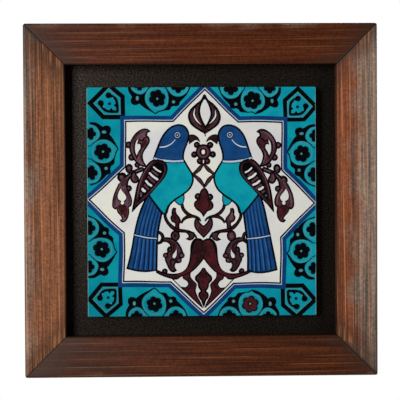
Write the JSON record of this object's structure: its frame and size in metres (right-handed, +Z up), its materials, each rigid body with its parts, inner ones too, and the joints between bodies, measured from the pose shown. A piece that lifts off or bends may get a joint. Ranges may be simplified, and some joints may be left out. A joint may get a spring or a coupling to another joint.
{
  "type": "framed decorative ceramic tile",
  "caption": "Square glazed wall tile painted with confronted birds and arabesques, on a black backing board in a deep mitred wooden frame that hangs on a wall.",
  "frame": {"origin": "middle of the top rail's back face, where the frame bears on the wall, just above the nail that carries it", "axes": "+Y into the wall, so the tile faces -Y; +Z up; +X to the right as one looks at the tile"},
  "size_m": [0.3054, 0.022, 0.3055],
  "materials": {
    "wood_top": "stained softwood, red brown, satin",
    "wood_right": "stained softwood, grey brown, worn satin",
    "wood_bottom": "stained softwood, dark brown, satin",
    "wood_left": "stained softwood, light brown, worn satin",
    "black_board": "matt black, finely pebbled fibreboard",
    "painted_glaze": "gloss glaze, painted turquoise, cobalt, manganese and black on white"
  },
  "bodies": {
    "root": {"rail_top": "wood_top", "rail_right": "wood_right", "rail_bottom": "wood_bottom", "rail_left": "wood_left", "backing_board": "black_board", "wall_tile": "painted_glaze"}
  },
  "joints": []
}
